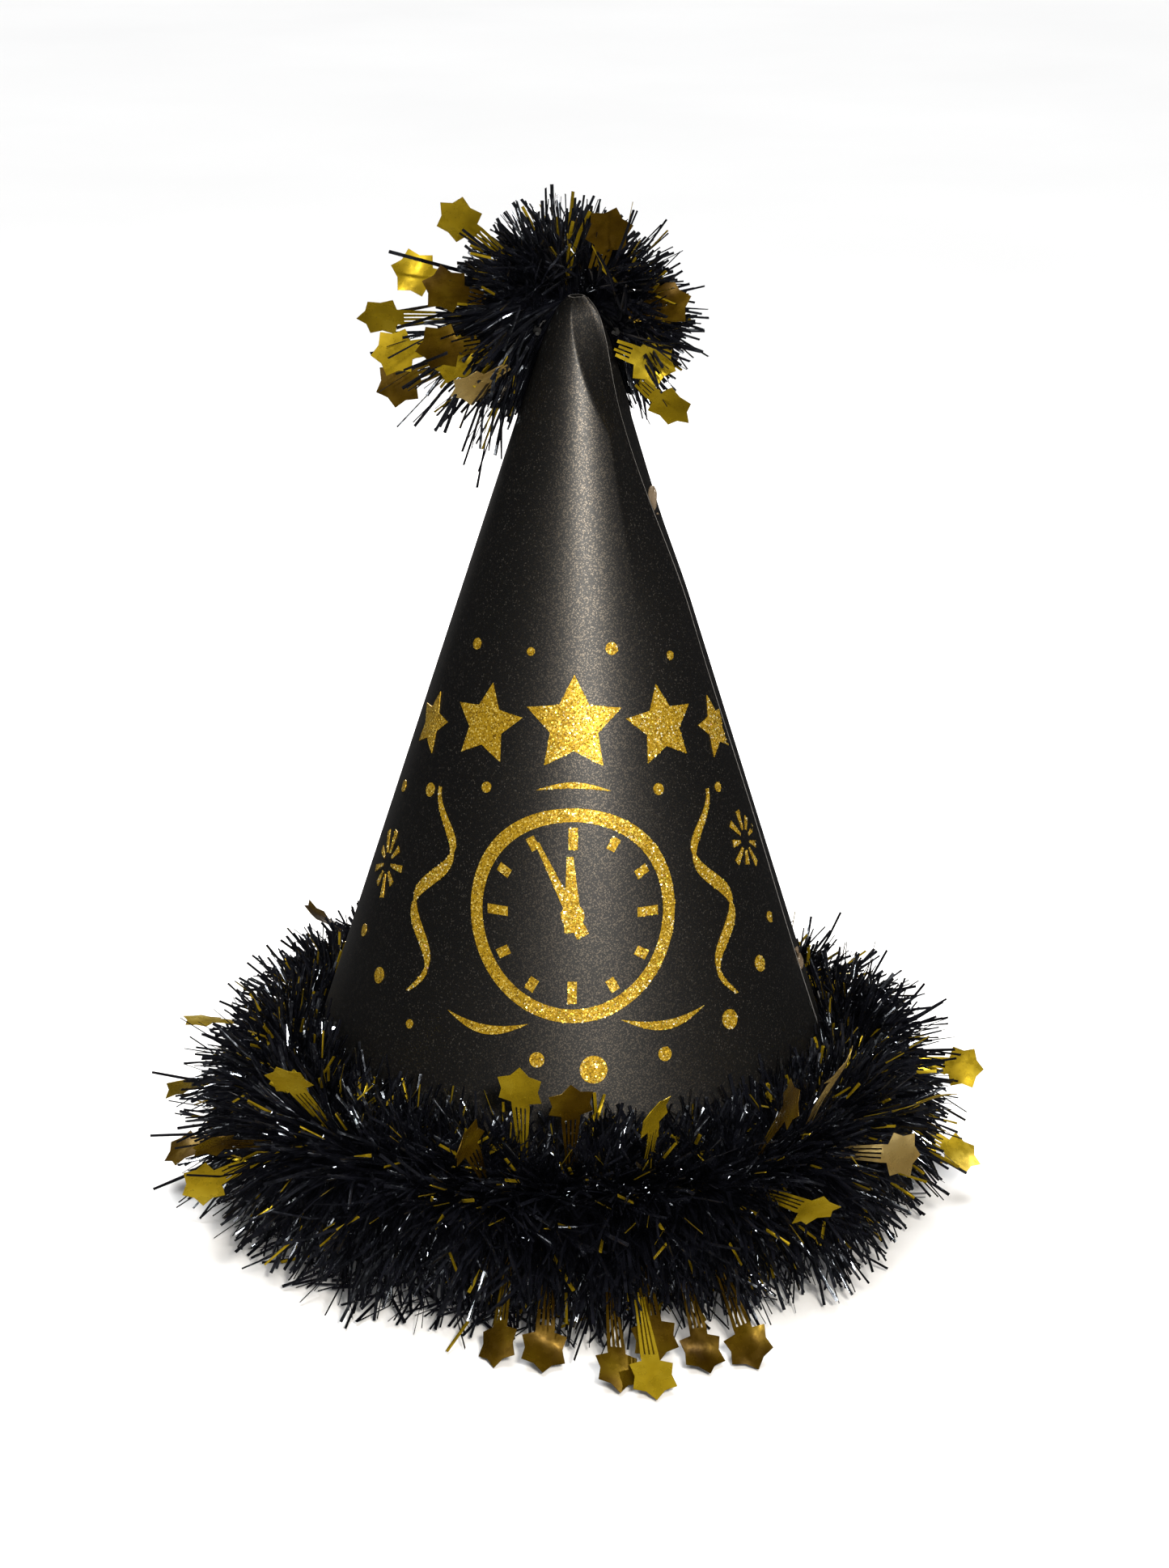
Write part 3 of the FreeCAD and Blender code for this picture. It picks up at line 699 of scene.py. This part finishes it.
def clear_of_tip(points, layer):
    """Points moved out of the card near the tip, and none of them in front of it."""
    points = points.copy()
    x, z = np.abs(points[:, 0]), points[:, 2]
    beside = np.maximum(x - card_radius(z), 0) + np.maximum(z - TIP_Z, 0) * 0.5
    points[:, 1] = np.maximum(points[:, 1], 0.5 * MM - 1.4 * beside)
    reach = np.hypot(points[:, 0], points[:, 1])
    wall = card_radius(np.minimum(z, TIP_Z)) + (0.8 + 1.5 * layer) * MM
    wall = np.where(z > TIP_Z + 0.5 * MM, 0.0, wall)
    grow = np.maximum(wall / np.maximum(reach, 1e-6), 1.0)
    points[:, :2] *= grow[:, None]
    return points


def pom_headings(rng, wanted):
    """Directions of the pom's fans: dense to the left, thinner to the right and at the top.

    An angle is counted as seen from the front, from +X towards +Z.
    """
    angles = np.array([0, 25, 50, 80, 110, 140, 230, 260, 290, 310, 350, 360])
    share = np.array([0.50, 0.20, 0.16, 0.28, 0.65, 1.0, 1.0, 0.7, 0.7, 0.9, 0.70, 0.50])
    picked = []
    while len(picked) < wanted:
        heading = rng.normal(0, 1, 3)
        heading /= np.linalg.norm(heading)
        angle = math.degrees(math.atan2(heading[2], heading[0])) % 360
        if rng.uniform() < np.interp(angle, angles, share) and heading[1] > -0.45:
            picked.append(heading)
    return np.array(picked)


def pom_lines(rng, clusters, fan, headings=None, reach=1.0):
    """Centre lines of the pom's strands, which leave the core bent round the tip."""
    count = clusters * fan
    if headings is None:
        headings = pom_headings(rng, clusters)
    # a fan leaves the core on the side that it points to
    facing = np.degrees(np.arctan2(headings[:, 0], -headings[:, 1]))
    off_back = 0.55 * ((facing % 360.0) - 180.0) + rng.normal(0, 14, clusters)
    azimuth = np.repeat(180.0 + np.clip(off_back, -90, 90), fan)
    offset = np.tile(np.arange(fan) - (fan - 1) / 2, clusters)
    round_tip = spin(azimuth + 90.0, 1.0, 0.0)
    across = unit(np.cross(np.repeat(headings, fan, axis=0), rng.normal(0, 1, (count, 3))))
    spread = rng.normal(0, 0.15, count) + offset * 0.04
    heading = unit(np.repeat(headings, fan, axis=0) + across * spread[:, None])
    # most fans come together just behind the tip, the others leave the core lower down
    gathered = rng.uniform(0, 1, clusters) < 0.75
    gather = np.repeat(np.where(gathered, rng.uniform(0.55, 0.9, clusters), 0.0), fan)
    behind_tip = np.array([0.0, 5.0 * MM, TIP_Z + 0.5 * MM])
    start = spin(azimuth, POM_CORE_RADIUS, POM_CORE_Z)
    start = start + (behind_tip - start) * gather[:, None]
    start = start + offset[:, None] * 0.7 * MM * (round_tip * 0.6 + UP * 0.4)
    length = reach_to_ball(start, heading, POM_MIDDLE, POM_RADIUS)
    vary = 1.03 + np.repeat(rng.normal(0, 0.08, clusters), fan) + rng.normal(0, 0.07, count)
    # the ball is smaller to the right, at the top and below
    smaller = 1 - 0.30 * np.clip(heading[:, 0], 0, 1) - 0.18 * np.clip(heading[:, 2], 0, 1)
    smaller = smaller - 0.18 * np.clip(-heading[:, 2], 0, 1)
    length = np.maximum(length, 14 * MM) * vary * smaller * reach
    layer = rng.uniform(0, 1, count)
    # strands to the left droop a little more
    droop = np.abs(rng.normal(0.06, 0.05, count)) + 0.07 * np.clip(-heading[:, 0], 0, 1)
    curl = curls(rng, 0.08, clusters, fan)
    return grow_strands(start, heading, length, layer, droop, curl, clear_of_tip)


# groups of fans that stand out from the ball: how many, direction, scatter and reach
POM_GROUPS = [
    (22, (-1.0, 0.10, -0.28), 0.16, 1.45), (24, (0.78, -0.68, -0.42), 0.14, 1.08),
    (26, (0.85, -0.62, 0.10), 0.22, 1.02), (12, (0.38, -0.55, 0.85), 0.18, 1.04),
    (12, (0.80, 0.10, -0.55), 0.15, 1.15), (14, (0.70, 0.05, 0.55), 0.40, 1.20),
    (7, (0.95, 0.05, -0.25), 0.12, 1.40), (16, (0.42, -0.55, 0.72), 0.16, 1.10),
    (20, (0.80, -0.50, 0.22), 0.18, 1.08),
]


def make_pom_tinsel():
    """Pom's black strands with its tufts, and its gold strands."""
    rng = np.random.default_rng(23)
    lines = [pom_lines(rng, *POM_FANS)]
    for count, direction, scatter, reach in POM_GROUPS:
        headings = unit(np.array(direction) + rng.normal(0, scatter, (count, 3)))
        lines.append(pom_lines(rng, count, POM_GROUP_FAN, headings, reach))
    strand_piece("pom_tinsel", np.concatenate(lines), rng, TINSEL,
                 "pom_pile", gold_share=0.04)
    lines = pom_lines(rng, *POM_GOLD_FANS)
    strand_piece("pom_gold_strands", lines, rng, GOLD_FILM, "pom_pile")


# ---- twisted cores
def make_core(name, node, sweep, radius, z, middle):
    """Two plies of thread twisted together, along part of a ring."""
    lay, steps_per_turn = 5.0 * MM, 9
    length = math.radians(sweep) * radius
    turns = length / lay
    part = np.linspace(0, 1, int(turns * steps_per_turn))
    azimuth = middle + (part - 0.5) * sweep
    swing = CORE_THICK / 4
    plies = []
    for phase in (0.0, math.pi):
        twist = 2 * np.pi * turns * part + phase
        path = spin(azimuth, radius + swing * np.cos(twist), z + swing * np.sin(twist))
        plies.append(tube(path, swing * 0.98, 6))
    verts, faces = merged(plies)
    piece = make_piece(name, verts, faces, [THREAD])
    smooth(piece, 60)
    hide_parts(node)


# ---- film stars
# in millimetres: the star's two radii, its stems' lengths, where the slits start, how wide
# they are, and where the strips between them can bend
STAR_TIP, STAR_NOTCH = 6.0, 4.4
BRIM_STEM, POM_STEM, POM_FRONT_STEM = 21.0, 16.0, 9.5
SLIT_START, SLIT_WIDTH = 5.4, 0.42
STRIP_BENDS = (SLIT_START, 9.0, 13.0, 17.0, 21.0)
STEM_STRIPS = 4
STAR_MESH_SPACING = 1.3
STAR_FILM_THICK = 0.12 * MM
# film of each star in turn: G is gold; A is a darker copy of it, painted shade for the stars that
# look dim; P is a lighter copy, painted reflection for the stars that catch more light
FILMS = {"G": GOLD_FILM, "A": SHADED_GOLD_FILM, "P": LIT_GOLD_FILM}
BRIM_FILMS = "AGGAAPGGPGAGAAGAAAAGGGAGGAGPA"
POM_FILMS = "GGAGGAGAPAAGGAG"


def star_outline(stem_length):
    """Flat outline in millimetres: five points, and a stem slit into strips."""
    outline = []
    for step in range(11):
        turn = math.radians(-60.0 + 30.0 * step)
        reach = STAR_NOTCH if step % 2 == 0 else STAR_TIP
        outline.append((reach * math.cos(turn), reach * math.sin(turn)))
    half = outline[0][0]
    pitch = 2 * half / STEM_STRIPS
    for strip in range(STEM_STRIPS):
        left = -half + strip * pitch + (SLIT_WIDTH / 2 if strip else 0)
        right = -half + (strip + 1) * pitch - (SLIT_WIDTH / 2 if strip < STEM_STRIPS - 1 else 0)
        end = -stem_length + 0.8 * (strip % 2)
        bends = [part for part in STRIP_BENDS if part < -end - 1.0]
        outline += [(left, -part) for part in bends] + [(left, end), (right, end)]
        outline += [(right, -part) for part in reversed(bends)]
    return outline


def filled(outline):
    """Triangles that fill a star's outline, with points inside it so that it can bend."""
    count = len(outline)
    inside = []
    spacing = STAR_MESH_SPACING
    steps = int(STAR_TIP / spacing) + 1
    for i in range(-steps, steps + 1):
        for j in range(-steps, steps + 1):
            x, y = (i + 0.5 * (j % 2)) * spacing, j * spacing * 0.87
            if math.hypot(x, y) < STAR_NOTCH * 0.82:
                inside.append((x, y))
    edges = [(i, (i + 1) % count) for i in range(count)]
    points = [Vector(p) for p in outline + inside]
    only_inside, tolerance = 1, 1e-5
    verts, _, faces, *_ = delaunay_2d_cdt(points, edges, [], only_inside, tolerance)
    return np.array([tuple(v) for v in verts]), [tuple(face) for face in faces]


def film_sheet(points, triangles):
    """Closed sheet of film from its middle surface."""
    normals = np.zeros_like(points)
    for face in triangles:
        a, b, c = points[list(face)]
        normals[list(face)] += np.cross(b - a, c - a)
    offset = unit(normals) * STAR_FILM_THICK / 2
    return closed_sheet(points + offset, points - offset, triangles)


def star_frame(node):
    """Centre, across, outward and normal of a CAD star; outward is away from its garland."""
    points = points_of(node)
    middle = points.mean(0)
    if node.startswith("brim"):
        azimuth = math.degrees(math.atan2(middle[0], -middle[1]))
        outward = middle - spin(azimuth, CORE_RADIUS, CORE_Z)
    else:
        outward = (middle - POM_MIDDLE) * (1, 0, 1)
    outward = unit(outward)
    normal = np.linalg.svd(points - middle)[2][2]
    outward = unit(outward - normal * np.dot(outward, normal))
    centre = middle + outward * (((points - middle) @ outward).max() - STAR_TIP * MM)
    return centre, np.cross(outward, normal), outward, normal


def make_star(node, rng, stem_length, film):
    """Curled film star on a stem that runs back into the tinsel."""
    points, triangles = filled(star_outline(stem_length))
    x, y = points[:, 0].copy(), points[:, 1].copy()
    half = STAR_NOTCH * 0.5
    cup, roll, warp = rng.normal(0, 0.022), rng.normal(0, 0.020), rng.normal(0, 0.018)
    rise = np.clip(y, -5, 9)
    out_of_plane = cup * x**2 + roll * rise**2 + warp * x * rise
    # each strip of the slit stem wanders a little on its own
    strip = np.clip(((x + half) / (2 * half) * STEM_STRIPS).astype(int), 0, STEM_STRIPS - 1)
    loose = np.clip(-y - SLIT_START, 0, None)
    stray = rng.normal(0, 0.0030, STEM_STRIPS)[strip]
    fan = (strip - (STEM_STRIPS - 1) / 2) * rng.uniform(0.004, 0.014)
    out_of_plane += stray * loose**2
    centre, across, outward, normal = star_frame(node)
    if node.startswith("pom"):
        # the stem of a star before or behind the pom bends into it
        depth = np.dot(POM_MIDDLE - centre, normal) / MM
        radius = 60.0 / np.clip(abs(depth) - 8.0, 0.01, 8.0)
        out_of_plane += np.sign(depth) * radius * (1 - np.cos(loose / radius))
        y = np.where(loose > 0, -SLIT_START - radius * np.sin(loose / radius), y)
    x = x * (1 - 0.45 * np.clip(loose / 12.0, 0, 1)) + fan * loose
    local = np.stack([x, y, out_of_plane], axis=1) * MM
    axes = np.stack([across, outward, normal])
    world = centre + local @ axes
    verts, faces = film_sheet(world, triangles)
    verts[:, 2] = np.maximum(verts[:, 2], 0.25 * MM)
    piece = make_piece(node + "_film", verts, faces, [film])
    smooth(piece, 40)
    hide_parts(node)


def make_stars():
    """Every star, with its film; those over the front of the pom have only short stems."""
    rng = np.random.default_rng(5)
    brim_nodes = sorted(node for node in nodes if node.startswith("brim_star"))
    pom_nodes = sorted(node for node in nodes if node.startswith("pom_star"))
    for node, letter in zip(brim_nodes, BRIM_FILMS):
        make_star(node, rng, BRIM_STEM, FILMS[letter])
    for node, letter in zip(pom_nodes, POM_FILMS):
        in_front = star_frame(node)[0][1] < -3 * MM
        make_star(node, rng, POM_FRONT_STEM if in_front else POM_STEM, FILMS[letter])


# ---- tape and glue
TAPE_THICK = 0.08 * MM


def make_seam_tape():
    """Tape between the two layers of card, near the flap's edge."""
    low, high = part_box("seam_tape")
    columns, rows = 9, 60
    # degrees from the flap's edge to the two edges of the tape
    far, near = 17.0, 5.0
    height = np.linspace(low.z, high.z, rows)[None, :]
    turn = flap_end(height) - np.linspace(far, near, columns)[:, None]
    radius = sheet_radius(turn, height) - CARD_THICK - 0.01 * MM
    outer, inner = spin(turn, radius, height), spin(turn, radius - TAPE_THICK, height)
    quads = grid_quads(columns, rows)
    verts, faces = closed_sheet(outer.reshape(-1, 3), inner.reshape(-1, 3), quads)
    piece = make_piece("seam_tape_strip", verts, faces, [TAPE])
    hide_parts("seam_tape")


def make_seam_glue():
    """Lumpy drops of glue squeezed out beside the flap."""
    clusters, parts = [], []
    for point in points_of("seam_glue_drops"):
        for cluster in clusters:
            if abs(cluster[0][2] - point[2]) < 5 * MM:
                cluster.append(point)
                break
        else:
            clusters.append([point])
    for number, cluster in enumerate(clusters):
        low, high = np.min(cluster, axis=0), np.max(cluster, axis=0)
        middle = (low + high) / 2
        azimuth = math.degrees(math.atan2(middle[0], -middle[1]))
        sunk = spin(azimuth, facet_depth(azimuth, middle[2]), 0.0)
        parts.append(lumpy(low - sunk, high - sunk, number))
    verts, faces = merged(parts)
    piece = make_piece("seam_glue", verts, faces, [GLUE])
    smooth(piece)
    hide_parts("seam_glue_drops")


def lumpy(low, high, seed):
    """Uneven drop that fills a box; the seed sets its lumps."""
    rings, sides = 14, 20
    middle, half = (low + high) / 2, (high - low) / 2
    verts = [middle + half * (0, 0, 1)]
    for ring in range(1, rings):
        tilt = math.pi * ring / rings
        for side in range(sides):
            turn = 2 * math.pi * side / sides
            swell = 1.0 + 0.12 * math.sin(2 * turn + 3 * tilt + seed)
            swell = swell - 0.10 * math.cos(3 * turn - 2 * seed)
            level = math.sin(tilt)
            away = (level * math.cos(turn), level * math.sin(turn), math.cos(tilt))
            verts.append(middle + half * swell * 0.92 * np.array(away))
    verts.append(middle - half * (0, 0, 1))
    last = len(verts) - 1
    faces = []
    for side in range(sides):
        beside = (side + 1) % sides
        faces.append((0, 1 + side, 1 + beside))
        faces.append((last, last - sides + beside, last - sides + side))
        for ring in range(rings - 2):
            a, b = 1 + ring * sides, 1 + (ring + 1) * sides
            faces.append((a + side, b + side, b + beside, a + beside))
    return np.array(verts), faces


# ---- glitter flakes
FLAKES_PER_SQUARE_METRE = 4.2e6
FLAKE_THICK, FLAKE_CORNERS = 0.03 * MM, 6
PRINTS = sorted(node for node in nodes if node.startswith("glitter_"))


def outward_triangles(node):
    """Triangles of a print's outer face, with their areas and outward directions."""
    mesh = nodes[node].data
    mesh.calc_loop_triangles()
    corners = points_of(node)[np.array([tri.vertices[:] for tri in mesh.loop_triangles])]
    cross = np.cross(corners[:, 1] - corners[:, 0], corners[:, 2] - corners[:, 0])
    middle = corners.mean(1)
    from_axis = np.hypot(middle[:, 0], middle[:, 1])
    away = unit(np.stack([middle[:, 0], middle[:, 1], FLARE * from_axis], axis=1))
    # the tiny number avoids a division by zero
    facing = np.einsum("ij,ij->i", unit(cross + 1e-15), away) > 0.8
    reach = from_axis - card_radius(middle[:, 2])
    outer = facing & (reach > np.median(reach[facing]) - 0.02 * MM)
    return corners[outer], np.linalg.norm(cross[outer], axis=1) / 2, away[outer]


def make_flakes():
    """Loose-lying hexagonal flakes over each glitter print."""
    rng = np.random.default_rng(31)
    for node in PRINTS:
        corners, area, away = outward_triangles(node)
        count = int(area.sum() * FLAKES_PER_SQUARE_METRE)
        chosen = rng.choice(len(area), count, p=area / area.sum())
        u, v = rng.uniform(0, 1, count), rng.uniform(0, 1, count)
        over = u + v > 1
        u[over], v[over] = 1 - u[over], 1 - v[over]
        a, b, c = (corners[chosen, i] for i in range(3))
        middle = a + (b - a) * u[:, None] + (c - a) * v[:, None]
        normal = unit(away[chosen] + rng.normal(0, 0.20, (count, 3)))
        side = unit(np.cross(normal, rng.normal(0, 1, (count, 3))))
        other = np.cross(normal, side)
        size = rng.uniform(0.16, 0.26, count)[:, None, None] * MM
        top = circles(middle + away[chosen] * 0.05 * MM, side, other, size, FLAKE_CORNERS)
        bottom = top - normal[:, None] * FLAKE_THICK
        verts = np.concatenate([top, bottom], axis=1).reshape(-1, 3)
        first, ring = np.arange(count)[:, None] * 2 * FLAKE_CORNERS, np.arange(FLAKE_CORNERS)
        faces = (first + ring).tolist() + (first + FLAKE_CORNERS + ring[::-1]).tolist()
        for corner in range(FLAKE_CORNERS):
            beside = (corner + 1) % FLAKE_CORNERS
            rim = [corner, corner + FLAKE_CORNERS, beside + FLAKE_CORNERS, beside]
            faces += (first + np.array(rim)).tolist()
        films = [FLAKE_GOLD, FLAKE_PALE, FLAKE_HUES]
        kinds = rng.choice(len(films), count, p=[0.87, 0.08, 0.05])
        # every flake has a top, a bottom and its sides
        kinds = np.tile(kinds, 2 + FLAKE_CORNERS)
        make_piece(node + "_flakes", verts, faces, films, kinds)


# ---- carried-over CAD nodes
def dress(node, material):
    """Give a carried-over CAD node its material."""
    mesh = nodes[node].data
    mesh.materials.clear()
    mesh.materials.append(material)


# ---- stage and lighting
# height that the lamps' places are counted from
LAMPS_Z = BRIM_Z + 0.145
# azimuth, distance and rise of each glint lamp
GLINT_LAMPS = [
    (-65, 0.7, 0.35), (-30, 0.8, 0.05), (8, 0.75, 0.55), (42, 0.8, 0.10),
    (75, 0.7, 0.40), (130, 0.7, 0.30), (180, 0.8, 0.10), (-130, 0.7, 0.40),
]
GLINT_SIZE, GLINT_POWER, GLINT_COLOUR = 0.035, 3.0, (0.88, 0.94, 1.0)
DIM_STRENGTH, PALE_STRENGTH = 0.05, 0.96


def make_stage():
    """Wide floor under the hat."""
    half = 8.0
    mesh = bpy.data.meshes.new("floor")
    corners = [(-half, -half, 0), (half, -half, 0), (half, half, 0), (-half, half, 0)]
    mesh.from_pydata(corners, [], [(0, 1, 2, 3)])
    mesh.materials.append(floor_material())
    floor = bpy.data.objects.new("floor", mesh)
    # its white stays out of the black gloss
    floor.visible_glossy = False
    bpy.context.scene.collection.objects.link(floor)


def area_light(name, place, target, size, power, colour):
    """Square lamp that faces a target."""
    data = bpy.data.lights.new(name, "AREA")
    data.shape, data.size, data.size_y = "RECTANGLE", size, size
    data.energy, data.color = power, colour
    light = bpy.data.objects.new(name, data)
    light.location = place
    light.rotation_mode = "QUATERNION"
    light.rotation_quaternion = (Vector(target) - Vector(place)).to_track_quat("-Z", "Y")
    bpy.context.scene.collection.objects.link(light)
    return light


def sun_light(name, energy, spread, tilt, turn, shadow):
    """Wide soft light that brightens what is matt and stays out of the black gloss."""
    sun = bpy.data.lights.new(name, "SUN")
    sun.energy, sun.angle, sun.use_shadow = energy, math.radians(spread), shadow
    light = bpy.data.objects.new(name, sun)
    light.rotation_euler = (math.radians(tilt), 0, math.radians(turn))
    light.visible_glossy = False
    bpy.context.scene.collection.objects.link(light)


def make_lights():
    """Soft light from above and the front, lamps for the card's streaks, dim surroundings."""
    sun_light("above", energy=3.2, spread=34, tilt=10, turn=-20, shadow=True)
    sun_light("front", energy=1.3, spread=60, tilt=55, turn=15, shadow=False)
    target = (0, 0, LAMPS_Z)
    area_light("streak", (0.125, -0.60, LAMPS_Z + 0.265), target,
               size=0.10, power=6.1, colour=(1.0, 0.94, 0.85))
    area_light("streak_behind", (-0.16, 0.70, LAMPS_Z + 0.30), target,
               size=0.14, power=9.0, colour=(1.0, 0.96, 0.92))
    world = bpy.data.worlds.new("studio")
    world.use_nodes = True
    tree = world.node_tree
    dim, pale = tree.nodes["Background"], tree.nodes.new("ShaderNodeBackground")
    dim.inputs["Color"].default_value = (0.95, 0.97, 1.0, 1.0)
    dim.inputs["Strength"].default_value = DIM_STRENGTH
    pale.inputs["Color"].default_value = (1.0, 1.0, 1.0, 1.0)
    pale.inputs["Strength"].default_value = PALE_STRENGTH
    # what lies beyond the floor looks pale, yet throws little light onto the black card
    path = tree.nodes.new("ShaderNodeLightPath")
    either = tree.nodes.new("ShaderNodeMixShader")
    tree.links.new(path.outputs["Is Camera Ray"], either.inputs[0])
    tree.links.new(dim.outputs[0], either.inputs[1])
    tree.links.new(pale.outputs[0], either.inputs[2])
    tree.links.new(either.outputs[0], tree.nodes["World Output"].inputs["Surface"])
    bpy.context.scene.world = world
    bpy.context.scene.view_settings.view_transform = "Standard"


def make_glints():
    """Tiny lamps all round, which shine only on the tinsel and the films.

    The two streak lamps shine only on everything else.
    """
    films = bpy.data.collections.new("films")
    others = bpy.data.collections.new("others")
    for piece in bpy.data.objects:
        if piece.type == "MESH":
            name = piece.name
            film = "tinsel" in name or "gold_" in name or name.endswith("_film")
            (films if film else others).objects.link(piece)
    for name in ("streak", "streak_behind"):
        bpy.data.objects[name].light_linking.receiver_collection = others
    target = (0, 0, LAMPS_Z - 0.1)
    for number, (azimuth, distance, rise) in enumerate(GLINT_LAMPS):
        place = spin(azimuth, distance, LAMPS_Z + rise)
        light = area_light(
            f"glint_{number + 1}", place, target, GLINT_SIZE, GLINT_POWER, GLINT_COLOUR)
        light.light_linking.receiver_collection = films


# ---- assembling
make_stage()
make_lights()
make_card()
make_brim_tinsel()
make_pom_tinsel()
make_core("garland_core_plies", "garland_core", 356.0, CORE_RADIUS, CORE_Z, 180.0 + FLAP_AZIMUTH)
make_core("pom_core_plies", "pom_core", 220.0, POM_CORE_RADIUS, POM_CORE_Z, 180.0)
make_stars()
make_seam_tape()
make_seam_glue()
make_flakes()
for node in PRINTS:
    dress(node, GLITTER)
dress("brim_glue_beads", GLUE)
dress("tip_glue_beads", DULL_GLUE)
make_glints()
